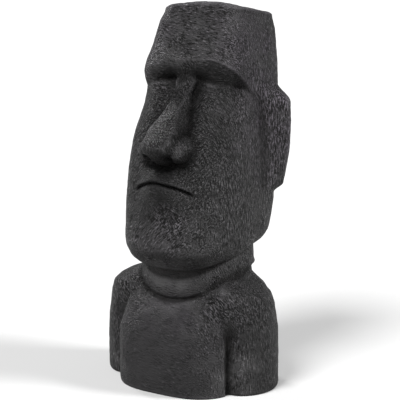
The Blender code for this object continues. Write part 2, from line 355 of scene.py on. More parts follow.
class Skin:
    """The points of the statue's skin, and what the carving needs to know about each of them.

    x, y and z are the points. middle is the Y of the body's axis and level the height of the outline
    that a point lies on. behind is how far it lies behind that outline's front, aside how far from the
    middle plane, and wrap how far round the head from the middle of the face. normal_x and normal_y
    are the way straight out of the outline, and plain_x and plain_y the point without the arms.
    """

    FACE_DEPTH = 60.0
    FACE_FADE = 90.0
    WRAP_SHARE = 0.6
    CROWN_ROLL = 0.042
    CROWN_LEVELS = (540.0, 580.0)
    CROWN_DOME = 4.0
    DOME_LEVELS = (300.0, 400.0)
    NOTCH_FADE = 3.0

    def __init__(self, body: Body, arms: Arms, cosine: Field, sine: Field, place: Field) -> None:
        """Lay the points on the plain body.

        Args:
            body: The body's outlines.
            arms: The arms that join it.
            cosine: The share to the side of each point's direction from the middle.
            sine: The share to the back of each point's direction.
            place: Each point's place in the stack of outlines.
        """
        cut = body.at(place)
        middle = cut.middle
        depth = np.where(sine < 0.0, middle - cut.front, cut.back - middle)
        square = np.where(sine < 0.0, cut.front_square, cut.back_square)
        width = body.width(cut, cosine)
        plain = (np.abs(cosine / width) ** square + np.abs(sine / depth) ** square) ** (-1.0 / square)
        arm = arms.radius(cosine, sine, cut.level, middle)
        radius = arms.join(plain, arm, cut.level)
        self.x: Field = radius * cosine
        self.y: Field = middle + radius * sine
        self.aside: Field = np.abs(self.x)
        rise = cut.lift * np.clip(self.aside / cut.width, 0.0, 1.0) ** 2
        roll = self.CROWN_ROLL * smooth(*self.CROWN_LEVELS, cut.level) * self.x
        self.z: Field = cut.level + cut.slope * (self.y - middle) + rise + roll
        self.plain_x: Field = plain * cosine
        self.plain_y: Field = plain * sine
        self.middle: Field = middle
        self.level: Field = cut.level
        self.behind: Field = self.y - cut.front
        self.wrap: Field = self.aside + self.WRAP_SHARE * self.behind
        side = np.sign(cosine) * np.abs(plain * cosine / width) ** (square - 1.0) / width
        back = np.sign(sine) * np.abs(plain * sine / depth) ** (square - 1.0) / depth
        length = np.hypot(side, back)
        self.normal_x: Field = side / length
        self.normal_y: Field = back / length

    def push_out(self, distance: Field) -> None:
        """Move the points out of the head, level and square to its outline."""
        self.x = self.x + self.normal_x * distance
        self.y = self.y + self.normal_y * distance

    def push_forward(self, distance: Field) -> None:
        """Move the points of the face straight forward."""
        self.y = self.y - distance * smooth(self.FACE_FADE, self.FACE_DEPTH, self.behind)

    def close_ends(self, inset: Field) -> None:
        """Draw the points of the crown and the foot in towards the axis.

        The notches beside the arms fade inwards, so that the faces of the foot don't fold over.

        Args:
            inset: The share of the way from the axis to the edge, 1 on the sides.
        """
        kept = inset ** self.NOTCH_FADE
        self.x = inset * blend(self.plain_x, self.x, kept)
        self.y = self.middle + inset * blend(self.plain_y, self.y - self.middle, kept)
        dome = self.CROWN_DOME * smooth(*self.DOME_LEVELS, self.level) * (1.0 - inset ** 2)
        self.z = blend(self.level, self.z, inset) + dome

    def points(self) -> Field:
        """Return the points as rows of X, Y and Z in millimetres."""
        return np.stack((self.x, self.y, self.z), axis=1)


@dataclass(frozen=True)
class Brow:
    """The heavy brow and the eye hollows under it, from the nose round to the temples.

    Places round the head are distances from the middle of the face. At each of them, edges holds the
    level of the brow's lower edge, creases that of the crease where the hollow is deepest, and depths how
    deep it is there. Above the crease the hollow lies under the brow's hood, and below it runs out over
    the cheek: hoods and cheek_powers are the exponents of these two profiles. The brow hangs lower on the
    statue's right, where the far sizes hold. Two folds lie under each eye. temples is how far behind the
    face the hollows start and end their fade.
    """

    places: Row = (20.0, 42.0, 60.0, 76.0, 92.0, 105.0, 119.0, 128.0, 137.0)
    edges: Row = (518.0, 517.0, 514.0, 509.0, 502.0, 493.0, 482.0, 473.0, 463.0)
    creases: Row = (484.0, 482.5, 481.0, 480.0, 478.5, 477.0, 473.0, 468.0, 461.0)
    depths: Row = (31.0, 29.0, 26.0, 22.5, 18.5, 15.0, 13.0, 12.0, 11.0)
    far_edges: Row = (518.0, 514.0, 512.0, 508.0, 500.0, 491.0, 481.0, 473.0, 463.0)
    far_creases: Row = (484.0, 482.5, 480.5, 476.0, 471.0, 468.0, 466.0, 464.0, 459.0)
    far_blend: Pair = (8.0, -14.0)
    far_share: float = 0.50
    far_span: Pair = (20.0, 98.0)
    ends: Pair = (138.0, 116.0)
    cheeks: Pair = (88.0, 84.0)
    cheek_span: Pair = (40.0, 95.0)
    cheek_powers: Pair = (0.8, 1.8)
    far_power: float = 2.6
    far_hood: float = 1.8
    inner_span: Pair = (20.0, 52.0)
    cheek_hold: float = 0.10
    lid: float = 0.2
    lid_height: float = 7.0
    hoods: Pair = (1.3, 0.85)
    hood_span: Pair = (24.0, 54.0)
    least_hood: float = 3.0
    folds: Row = (9.0, 15.0)
    fold_depth: float = 1.3
    fold_width: float = 3.2
    fold_places: Levels = (20.0, 30.0, 50.0, 66.0)
    temples: Pair = (120.0, 140.0)

    def line(self, near: Row, far: Row, skin: Skin, share: Field) -> Field:
        """Read the level of a line round the head.

        Args:
            near: Its levels on the statue's left.
            far: Its levels on the statue's right.
            skin: The skin it runs over.
            share: 1 on the statue's right and 0 on its left.

        Returns:
            The line's level at each point.
        """
        sides = (np.interp(skin.wrap, self.places, levels) for levels in (near, far))
        return blend(*sides, share)

    def depth(self, skin: Skin) -> Field:
        """Work out how deep the hollows are.

        Args:
            skin: The skin they are carved in.

        Returns:
            The depth at each point, before the nose is raised between them.
        """
        far = smooth(*self.far_blend, skin.x)
        edge = self.line(self.edges, self.far_edges, skin, far)
        crease = self.line(self.creases, self.far_creases, skin, far)
        under = np.clip((edge - skin.z) / np.maximum(edge - crease, self.least_hood), 0.0, 1.0)
        drop = np.clip(crease - skin.z, 0.0, None)
        below = np.clip(drop / change(self.cheeks, self.cheek_span, skin.wrap), 0.0, 1.0)
        hang = change(self.hoods, self.hood_span, skin.wrap)
        hood = under ** blend(hang, np.maximum(hang, self.far_hood), far)
        lid = self.lid * smooth(*self.inner_span, skin.wrap)
        power = change(self.cheek_powers, self.inner_span, skin.wrap)
        power = blend(power, np.maximum(power, self.far_power), far)
        inner = (1.0 - lid) * (1.0 - below) ** power
        inner = inner + lid * (1.0 - np.clip(drop / self.lid_height, 0.0, 1.0)) ** 2
        outer = smooth(1.0, self.cheek_hold, below)
        cheek = blend(inner, outer, smooth(*self.cheek_span, skin.wrap))
        deepest = np.interp(skin.wrap, self.places, self.depths) * smooth(*self.ends, skin.wrap)
        deepest = deepest * (1.0 + (self.far_share - 1.0) * smooth(*self.far_span, skin.wrap) * far)
        folds = sum(bell(drop - fold, self.fold_width) for fold in self.folds)
        folds = self.fold_depth * folds * plateau(self.fold_places, skin.wrap)
        return deepest * np.where(skin.z > crease, hood, cheek) + folds


@dataclass(frozen=True)
class Nose:
    """The long nose: its ridge from its foot over its tip to the forehead, its wings and nostrils.

    At each of the levels, ridge is how far the nose stands before the plain face, half the half breadth
    of its back and steeps how steeply its flanks fall from there. rims round off the back's two edges,
    and fills soften the crease between flank and cheek, below and above fill_span.
    """

    levels: Row = (
        342, 352, 356, 361, 366, 372, 379, 385, 391, 398, 405,
        412, 420, 430, 440, 450, 460, 470, 483, 498, 515, 540,
    )
    ridge: Row = (
        -34, -14, -2, 9, 20, 32, 42, 48, 50, 47, 41,
        33, 25, 17, 9, 0, -9, -16, -19, -12, -2, -14,
    )
    half: Row = (
        8, 8, 9, 11, 14, 17, 19, 20, 20.5, 21, 21.5,
        22, 21, 16.5, 13, 12, 12.5, 14.5, 18, 16, 12, 10,
    )
    steeps: Row = (
        4, 4, 4, 4, 4, 4, 4, 5, 7, 8, 8,
        7, 6, 5, 4, 4, 3.6, 3.2, 2.4, 0.9, 0.4, 0.3,
    )
    roundings: Pair = (0.016, 0.006)
    rounding_span: Pair = (392.0, 425.0)
    rims: Pair = (0.5, 16.0)
    fills: Pair = (2.5, 14.0)
    fill_span: Pair = (476.0, 500.0)
    wing_height: float = 32.0
    wing_middle: Pair = (25.5, 383.5)
    wing_size: Pair = (16.5, 20.5)
    wing_fill: float = 8.0
    nostril: Pair = (17.5, 373.0)
    nostril_size: float = 7.5
    nostril_depth: float = 14.0

    def height(self, skin: Skin) -> Field:
        """Work out how far the ridge and its flanks stand before the plain face.

        Args:
            skin: The skin they are raised on.

        Returns:
            The height at each point, far below 0 off the nose.
        """
        past = skin.aside - np.interp(skin.z, self.levels, self.half)
        flank = larger(past, np.zeros_like(past), change(self.rims, self.fill_span, skin.z))
        ridge = np.interp(skin.z, self.levels, self.ridge)
        rounding = change(self.roundings, self.rounding_span, skin.z)
        return ridge - np.interp(skin.z, self.levels, self.steeps) * flank - rounding * skin.x ** 2

    def wings(self, skin: Skin) -> Field:
        """Work out how far the wings stand before the plain face.

        Args:
            skin: The skin they are raised on.

        Returns:
            The height at each point, 0 off the wings.
        """
        aside = (skin.aside - self.wing_middle[0]) / self.wing_size[0]
        above = (skin.z - self.wing_middle[1]) / self.wing_size[1]
        away = np.clip(aside ** 2 + above ** 2, 0.0, 1.0)
        return self.wing_height * np.sqrt(1.0 - away)

    def carve(self, skin: Skin, hollow: Field, temples: Pair) -> None:
        """Sink the eye hollows and raise the nose between them.

        Args:
            skin: The skin to work in.
            hollow: The depth of the eye hollows.
            temples: How far behind the face the hollows start and end their fade.
        """
        # Off the wings the fill alone would raise the face, by a quarter of its softness.
        wings = larger(self.wings(skin), np.zeros_like(hollow), self.wing_fill) - self.wing_fill / 4.0
        plain = wings - hollow
        nosed = larger(plain, self.height(skin), change(self.fills, self.fill_span, skin.z))
        fading = plain * smooth(temples[1], temples[0], skin.behind)
        skin.push_out(np.where(skin.behind < skin.FACE_DEPTH, nosed, fading))
        away = np.hypot(skin.aside - self.nostril[0], skin.z - self.nostril[1])
        skin.push_forward(-self.nostril_depth * bell(away, self.nostril_size))


@dataclass(frozen=True)
class Mouth:
    """The frowning mouth on its muzzle, and the chin under it."""

    muzzle: float = 24.0
    muzzle_breadth: float = 54.0
    muzzle_levels: Levels = (262.0, 328.0, 338.0, 360.0)
    chin: float = 5.0
    chin_breadth: float = 80.0
    chin_levels: Levels = (210.0, 235.0, 255.0, 300.0)
    level: float = 335.5
    droop: float = 16.5
    bow: float = 1.55
    half: float = 47.0
    fade: Pair = (42.0, 55.0)
    depth: float = 6.5
    reach: float = 3.4
    lip: float = 2.6
    lip_height: float = 6.0
    lip_reach: float = 7.0

    def carve(self, skin: Skin) -> None:
        """Raise the muzzle, the lip and the chin, and cut the line of the mouth.

        Args:
            skin: The skin to work in.
        """
        muzzle = self.muzzle * bell(skin.x, self.muzzle_breadth) * plateau(self.muzzle_levels, skin.z)
        chin = self.chin * bell(skin.x, self.chin_breadth) * plateau(self.chin_levels, skin.z)
        above = skin.z - self.level + self.droop * (skin.aside / self.half) ** self.bow
        along = smooth(self.fade[1], self.fade[0], skin.aside)
        lip = self.lip * bell(above - self.lip_height, self.lip_reach)
        groove = self.depth * bell(above, self.reach) - lip
        skin.push_forward(muzzle + chin - groove * along)


@dataclass(frozen=True)
class Ears:
    """The long ears: wedges that stand out from the sides of the head, further towards the back."""

    along: Row = (56.0, 64.0, 84.0, 96.0, 105.0, 112.0, 121.0, 132.0)
    shares: Row = (0.0, 0.06, 0.36, 0.58, 0.88, 1.0, 0.9, 0.0)
    upright: Levels = (295.0, 312.0, 442.0, 477.0)
    levels: Row = (300.0, 323.0, 337.0, 350.0, 380.0, 414.0, 440.0, 470.0)
    stands: Row = (17.5, 20.5, 22.6, 22.8, 25.0, 28.4, 29.0, 27.5)
    lowest: float = 250.0

    def carve(self, skin: Skin) -> None:
        """Raise the ears.

        Args:
            skin: The skin to work in.
        """
        share = np.interp(skin.y, self.along, self.shares)
        slab = share * plateau(self.upright, skin.z) * (skin.level > self.lowest)
        skin.x = skin.x + skin.normal_x * slab * np.interp(skin.z, self.levels, self.stands)


@dataclass(frozen=True)
class Lumps:
    """Uneven relief worked into the skin, from broad waves to the dents of the tools."""

    sizes: Row = (46.0, 17.0, 8.0)
    heights: Row = (1.0, 0.7, 0.5)
    stagger: float = 31.7
    calm_foot: float = 3.0

    def relief(self, points: Field) -> Field:
        """Work out the relief.

        Args:
            points: The skin's points, in millimetres.

        Returns:
            How far each point moves out.
        """
        total = np.zeros(len(points))
        for index, (size, height) in enumerate(zip(self.sizes, self.heights)):
            shift = self.stagger * (index + 1)
            waves = [noise.noise(Vector((x + shift, y, z))) for x, y, z in points / size]
            total += height * np.array(waves)
        return total * smooth(0.0, self.calm_foot, points[:, 2])


class Stroke(Enum):
    """The ways the tool strokes run: turns about X, Y and Z that bring each way upright."""

    LEVEL = (0.0, 80.0, 0.0)
    RISING = (0.0, 42.0, 0.0)
    FALLING = (0.0, -40.0, 0.0)
    UPRIGHT = (0.0, 0.0, 0.0)


class Side(Enum):
    """The sides of the statue that a patch lies on, and the way of X there."""

    BOTH = 0.0
    LEFT = 1.0
    RIGHT = -1.0


@dataclass(frozen=True)
class Patch:
    """A patch of the skin around a point.

    depth is how deep its tool strokes are and way how they run. Its tone is painted light and shade: below 1
    it is painted darker, above 1 paler, than the rest, standing in for how the light falls there. violet is
    how much of that tint it has. side says whether its mirror image is there too.
    """

    aside: float
    y: float
    z: float
    reach: float
    depth: float
    way: Stroke
    tone: float = 1.0
    violet: float = 0.0
    side: Side = Side.BOTH

    def away(self, points: Field) -> Field:
        """Return the square of each point's distance from the middle of the patch."""
        across = np.abs(points[:, 0]) if self.side is Side.BOTH else self.side.value * points[:, 0]
        return (across - self.aside) ** 2 + (points[:, 1] - self.y) ** 2 + (points[:, 2] - self.z) ** 2


@dataclass(frozen=True)
class Marks:
    """Where the tool strokes are deep or shallow and which way they run, and where light and shade are
    painted.

    The edges of the patches wander, by a noise of wander_size that is staggered from patch to patch.
    Where no patch outweighs bare_weight, the depth, the tone of painted light and shade, and the tint are
    bare_value.
    """

    wander: float = 2.4
    wander_size: float = 26.0
    stagger: Pair = (3.1, 1.3)
    offset: float = 7.7
    bare_weight: float = 1e-9
    bare_value: float = 0.5
    # Painted shade: the creases and the broad hollows, where the colour is painted darker because shade falls
    # there.
    darkening_masks: tuple[tuple[str, int, float], ...] = (("crease", 50, 1.5), ("hollow", 230, 5.0))
    # The edge mask finds the sharp edges, where highlights are painted.
    edge_steps: int = 10
    edge_radius: float = 7.0
    # Painted shade on the undersides: none where the normal's height is 0.4 or more, full where it is -0.6 or
    # less.
    painted_underside_shade: Pair = (0.40, -0.60)
    # Painted light and shade: each patch's tone paints its region darker (below 1) or paler (above 1) as the
    # light falls there.
    patches: tuple[Patch, ...] = (
        # Crown, forehead and the sides of the upper head.
        Patch(10, 90, 602, 60, 0.45, Stroke.LEVEL, 1.0, 0.3),
        Patch(50, 16, 600, 24, 0.35, Stroke.LEVEL, 1.00, 0.2),
        Patch(20, 6, 550, 34, 0.28, Stroke.LEVEL, 1.56),
        Patch(58, 12, 560, 26, 0.08, Stroke.LEVEL, 1.80, 0.2),
        Patch(30, -12, 520, 22, 0.50, Stroke.RISING, 1.00),
        Patch(62, -6, 518, 20, 0.10, Stroke.LEVEL, 1.86, 0.2),
        Patch(86, 6, 512, 20, 1.15, Stroke.FALLING, 1.22, 0.9),
        Patch(80, 60, 540, 40, 0.75, Stroke.UPRIGHT, 1.00, 0.9),
        # Eye hollows, nose and cheeks.
        # Painted shade under the brow's hood.
        Patch(44, -5, 495, 14, 0.30, Stroke.LEVEL, 0.08),
        Patch(72, 0, 492, 14, 0.25, Stroke.LEVEL, 0.08),
        Patch(0, -16, 494, 12, 0.60, Stroke.UPRIGHT, 0.90),
        Patch(0, -45, 450, 11, 1.20, Stroke.UPRIGHT, 0.75),
        Patch(48, -13, 489, 12, 0.60, Stroke.LEVEL, 4.60, 0.0, Side.RIGHT),
        # Painted shade on the nose's near flank.
        Patch(23, -12, 468, 7, 0.60, Stroke.UPRIGHT, 0.25, 0.0, Side.LEFT),
        Patch(21, -40, 438, 7, 0.80, Stroke.UPRIGHT, 0.25, 0.0, Side.LEFT),
        Patch(27, -62, 412, 7, 0.90, Stroke.UPRIGHT, 0.25, 0.0, Side.LEFT),
        Patch(34, -30, 445, 16, 0.50, Stroke.RISING, 0.95, 0.0, Side.RIGHT),
        Patch(8, -100, 392, 16, 0.90, Stroke.UPRIGHT, 0.60),
        Patch(21, -76, 417, 6, 0.60, Stroke.UPRIGHT, 1.40, 0.0, Side.RIGHT),
        Patch(20, -59, 429, 5, 0.60, Stroke.UPRIGHT, 1.40, 0.0, Side.RIGHT),
        Patch(19, -97, 400, 6, 0.60, Stroke.UPRIGHT, 1.40, 0.0, Side.RIGHT),
        Patch(28, -86, 380, 11, 1.10, Stroke.RISING, 0.90),
        Patch(52, -36, 440, 22, 0.65, Stroke.FALLING, 0.46),
        Patch(80, -16, 430, 26, 0.70, Stroke.RISING, 0.44),
        Patch(66, -60, 360, 30, 0.80, Stroke.FALLING, 0.55),
        Patch(99, 30, 400, 38, 0.40, Stroke.UPRIGHT, 1.24, 0.4),
        # Mouth, chin and jaw.
        # Painted shade on the upper lip, under the nose.
        Patch(12, -98, 346, 16, 0.60, Stroke.LEVEL, 0.16),
        Patch(20, -94, 318, 16, 0.45, Stroke.LEVEL, 0.34),
        Patch(17, -94, 282, 13, 1.20, Stroke.RISING, 1.90, 0.3, Side.LEFT),
        Patch(14, -90, 252, 24, 0.42, Stroke.FALLING, 1.56, 0.2),
        Patch(62, -72, 290, 26, 0.50, Stroke.FALLING, 0.94),
        Patch(38, -84, 276, 18, 0.30, Stroke.FALLING, 0.76, 0.0, Side.RIGHT),
        Patch(95, -20, 300, 40, 0.60, Stroke.UPRIGHT, 1.20),
        Patch(55, -66, 210, 20, 0.50, Stroke.LEVEL, 1.60),
        # Painted highlight along the near lower edge of the jaw.
        Patch(92, 40, 222, 9, 0.80, Stroke.FALLING, 2.60, 0.0, Side.LEFT),
        # Ears.
        Patch(101, 76, 445, 18, 1.60, Stroke.UPRIGHT, 2.20, 0.7),
        Patch(102, 74, 408, 15, 1.80, Stroke.UPRIGHT, 2.80, 1.0),
        Patch(101, 70, 355, 20, 0.95, Stroke.UPRIGHT, 2.05, 0.5),
        Patch(120, 108, 385, 16, 0.95, Stroke.UPRIGHT, 1.60, 0.6),
        # Neck and collar.
        # Painted light on the neck, against the shadow under the jaw.
        Patch(28, -54, 178, 30, 0.02, Stroke.LEVEL, 3.00),
        Patch(16, -60, 153, 10, 0.20, Stroke.LEVEL, 1.80),
        Patch(74, -26, 176, 24, 0.22, Stroke.RISING, 1.35),
        Patch(60, -55, 146, 16, 0.42, Stroke.RISING, 1.05),
        Patch(20, -84, 130, 20, 0.14, Stroke.LEVEL, 0.62, 0.5),
        # Shoulders, chest and arms.
        Patch(88, -48, 146, 22, 1.20, Stroke.RISING, 0.60, 0.3, Side.LEFT),
        Patch(116, -24, 158, 20, 0.85, Stroke.RISING, 0.72, 0.2, Side.LEFT),
        Patch(88, -48, 146, 22, 1.60, Stroke.RISING, 1.62, 0.0, Side.RIGHT),
        # Painted highlight on the near shoulder's top.
        Patch(84, 30, 172, 12, 0.90, Stroke.FALLING, 2.40, 0.0, Side.LEFT),
        Patch(120, 0, 140, 36, 0.60, Stroke.UPRIGHT, 0.75),
        Patch(20, -100, 90, 44, 0.14, Stroke.LEVEL, 0.84, 0.2),
        Patch(80, -84, 96, 26, 0.30, Stroke.RISING, 0.96, 0.3),
        Patch(104, -48, 50, 22, 0.28, Stroke.UPRIGHT, 2.40),
        Patch(145, -10, 70, 40, 0.34, Stroke.UPRIGHT, 0.72),
        # Back.
        Patch(0, 165, 500, 80, 0.40, Stroke.UPRIGHT),
        Patch(0, 135, 300, 70, 0.45, Stroke.UPRIGHT),
        Patch(0, 105, 170, 50, 0.50, Stroke.LEVEL),
        Patch(0, 100, 70, 60, 0.40, Stroke.UPRIGHT),
    )

    def shares(self, points: Field) -> dict[str, Field]:
        """Blend the patches over the skin.

        Args:
            points: The skin's points, in millimetres.

        Returns:
            For each point, the depth of its strokes, its tone of painted light and shade, its tint, and the
            share of each way.
        """
        total = np.full(len(points), self.bare_weight)
        looks = ("depth", "tone", "violet")
        sums = {name: total * self.bare_value for name in (*looks, *(way.name.lower() for way in Stroke))}
        for index, patch in enumerate(self.patches):
            shift = Vector((self.stagger[0] * index, self.offset, self.stagger[1] * index))
            drift = np.array([noise.noise(Vector(point) + shift) for point in points / self.wander_size])
            weight = np.exp(-patch.away(points) / (2.0 * patch.reach ** 2) + self.wander * drift)
            total = total + weight
            shares = {**{name: getattr(patch, name) for name in looks}, patch.way.name.lower(): 1.0}
            sums.update({name: sums[name] + weight * share for name, share in shares.items()})
        plain = {name: sums.pop(name) / total for name in looks}
        length = np.sqrt(sum(value ** 2 for value in sums.values()))
        return {**plain, **{name: value / length for name, value in sums.items()}}

    @staticmethod
    def calmed(ends: Field, points: Field, steps: int) -> Field:
        """Draw every point halfway to the mean of its neighbours.

        Args:
            ends: The two points of each edge, as rows of indices.
            points: The points, in millimetres.
            steps: How many times they are drawn in.

        Returns:
            The evened points.
        """
        one, other = ends.T
        count = np.bincount(one, minlength=len(points))[:, None]
        for _ in range(steps):
            sums = [np.bincount(one, weights=points[other, axis], minlength=len(points)) for axis in range(3)]
            points = blend(points, np.stack(sums, axis=1) / count, 0.5)
        return points

    def painted_light_masks(self, mesh: bpy.types.Mesh, points: Field, normals: Field) -> dict[str, Field]:
        """Find the creases and the broad hollows, where shade is painted, and the sharp edges, where
        highlights are painted.

        Args:
            mesh: The skin's mesh.
            points: Its points, in millimetres.
            normals: Its normals.

        Returns:
            For each point, 1 in a deep crease, in a deep hollow or on a sharp edge, and 0 on plain skin.
        """
        ends = read(mesh.edges, "vertices", 2, np.int32)
        ends = np.concatenate((ends, ends[:, ::-1]))
        gaps = ((points[ends[:, 0]] - points[ends[:, 1]]) ** 2).sum(axis=1)
        spread = np.bincount(ends[:, 0], weights=gaps) / np.bincount(ends[:, 0])
        calm = self.calmed(ends, points, self.edge_steps)
        # Each step draws a point in by an eighth of the bend there times the squared length of an edge.
        bend = ((points - calm) * normals).sum(axis=1) * 8.0 / (self.edge_steps * spread)
        found = {"edge": np.clip(bend * self.edge_radius, 0.0, 1.0)}
        for name, steps, full in self.darkening_masks:
            calm = self.calmed(ends, calm, steps)
            found[name] = np.clip(((calm - points) * normals).sum(axis=1) / full, 0.0, 1.0)
        return found

    def store(self, mesh: bpy.types.Mesh, points: Field, normals: Field) -> None:
        """Store the marks on the mesh, for its finish to read.

        Args:
            mesh: The skin's mesh.
            points: Its points before the lumps, in millimetres.
            normals: Its normals.
        """
        # Painted shade: the points that face down are painted darker, as if the light from above missed them.
        painted_underside_shade = smooth(*self.painted_underside_shade, normals[:, 2])
        fields = {**self.shares(points), **self.painted_light_masks(mesh, points, normals), "painted_underside_shade": painted_underside_shade}
        for name, values in fields.items():
            layer = mesh.attributes.new(name, "FLOAT", "POINT")
            layer.data.foreach_set("value", values.astype(np.float32))


@dataclass(frozen=True)
class Grid:
    """The grid of the skin: faces across the front, from front to back, and from foot to crown.

    aim stretches the box's directions to the breadth and depth of the body. column_draw is how far the
    columns are drawn towards the middle of the face, and face_rows how much closer the rows lie there.
    """

    across: int = 96
    deep: int = 48
    rows: int = 300
    aim: Pair = (100.0, 92.0)
    column_draw: float = 0.3
    path_steps: int = 4000
    face_rows: float = 1.6
    face_levels: Levels = (270.0, 320.0, 500.0, 540.0)

    def box(self) -> bmesh.types.BMesh:
        """Make the box that the skin is bent from.

        Returns:
            A box of side 2 around the origin, whose faces carry the grid.
        """
        box = bmesh.new()
        bmesh.ops.create_cube(box, size=2.0)
        for axis, faces in enumerate((self.across, self.deep, self.rows)):
            # The edges that run along an axis are 2 long until they are cut.
            along = [edge for edge in box.edges if abs(edge.verts[0].co[axis] - edge.verts[1].co[axis]) > 1.0]
            bmesh.ops.subdivide_edges(box, edges=along, cuts=faces - 1, use_grid_fill=True)
        bmesh.ops.recalc_face_normals(box, faces=box.faces)
        return box

    def places(self, body: Body, arms: Arms) -> Field:
        """Space the rows by the length of the front and the side, closer over the face.

        Args:
            body: The outlines that the rows lie on.
            arms: The arms that join them.

        Returns:
            The place of each row, counted in sections from the foot.
        """
        place = np.linspace(0.0, len(body.sections) - 1.0, self.path_steps)
        cut = body.at(place)
        side = np.maximum(cut.width, arms.reach(cut.level))
        rise = cut.level + cut.slope * (cut.front - cut.middle)
        front_steps = np.hypot(np.diff(cut.front), np.diff(rise))
        side_steps = np.hypot(np.diff(side), np.diff(cut.level + cut.lift))
        closer = 1.0 + (self.face_rows - 1.0) * plateau(self.face_levels, cut.level)[1:]
        path = np.concatenate(([0.0], np.cumsum((front_steps + side_steps) * closer)))
        return np.interp(np.linspace(0.0, path[-1], self.rows + 1), path, place)


@dataclass
class Statue:
    """The whole statue: the body, the features carved in it and the marks on it."""

    body: Body = field(default_factory=Body)
    arms: Arms = field(default_factory=Arms)
    brow: Brow = field(default_factory=Brow)
    nose: Nose = field(default_factory=Nose)
    mouth: Mouth = field(default_factory=Mouth)
    ears: Ears = field(default_factory=Ears)
    lumps: Lumps = field(default_factory=Lumps)
    marks: Marks = field(default_factory=Marks)
    grid: Grid = field(default_factory=Grid)

    def skin(self, box: Field) -> Skin:
        """Bend the box's points onto the statue and carve them.

        Args:
            box: The points of the gridded box.

        Returns:
            The carved skin.
        """
        across, deep, up = box.T
        inset = np.maximum(np.abs(across), np.abs(deep))
        drawn = across * (1.0 - self.grid.column_draw * (1.0 - across * across))
        run_x = np.where(inset > 0.0, drawn, 1.0) * self.grid.aim[0]
        run_y = deep * self.grid.aim[1]
        length = np.hypot(run_x, run_y)
        rows = self.grid.places(self.body, self.arms)
        place = np.interp(0.5 * (up + 1.0) * self.grid.rows, np.arange(self.grid.rows + 1), rows)
        skin = Skin(self.body, self.arms, run_x / length, run_y / length, place)
        self.nose.carve(skin, self.brow.depth(skin), self.brow.temples)
        self.mouth.carve(skin)
        self.ears.carve(skin)
        skin.close_ends(inset)
        return skin

    def build(self) -> bpy.types.Object:
        """Make the statue's mesh and give it its finish.

        Returns:
            The statue, at the origin of the frame.
        """
        box = self.grid.box()
        mesh = bpy.data.meshes.new(NODE + "_visual")
        box.to_mesh(mesh)
        box.free()
        points = self.skin(read(mesh.vertices, "co", 3, float)).points()
        self.place(mesh, points)
        normals = read(mesh.vertices, "normal", 3, np.float32)
        self.marks.store(mesh, points, normals)
        self.place(mesh, points + normals * self.lumps.relief(points)[:, None])
        mesh.shade_smooth()
        mesh.materials.append(CastStone().make())
        statue = bpy.data.objects.new(NODE + "_visual", mesh)
        bpy.context.scene.collection.objects.link(statue)
        return statue

    @staticmethod
    def place(mesh: bpy.types.Mesh, points: Field) -> None:
        """Move the mesh's points to new places, given in millimetres."""
        mesh.vertices.foreach_set("co", (points * MM).ravel())
        mesh.update()


class Sock:
    """A socket of a shader node, with the arithmetic that adds Math nodes."""

    def __init__(self, graph: "Graph", socket: bpy.types.NodeSocket) -> None:
        """Wrap a socket of the graph."""
        self.graph = graph
        self.socket = socket

    def __add__(self, other: "Sock | float") -> "Sock":
        """Add."""
        return self.graph.math("ADD", self, other)

    __radd__ = __add__

    def __mul__(self, other: "Sock | float") -> "Sock":
        """Multiply."""
        return self.graph.math("MULTIPLY", self, other)

    __rmul__ = __mul__

    def __sub__(self, other: "Sock | float") -> "Sock":
        """Subtract."""
        return self.graph.math("SUBTRACT", self, other)

    def __rsub__(self, other: "Sock | float") -> "Sock":
        """Subtract from a number."""
        return self.graph.math("SUBTRACT", other, self)

    def clipped(self) -> "Sock":
        """Hold the value between 0 and 1."""
        return self.graph.math("ADD", self, 0.0, clamp=True)


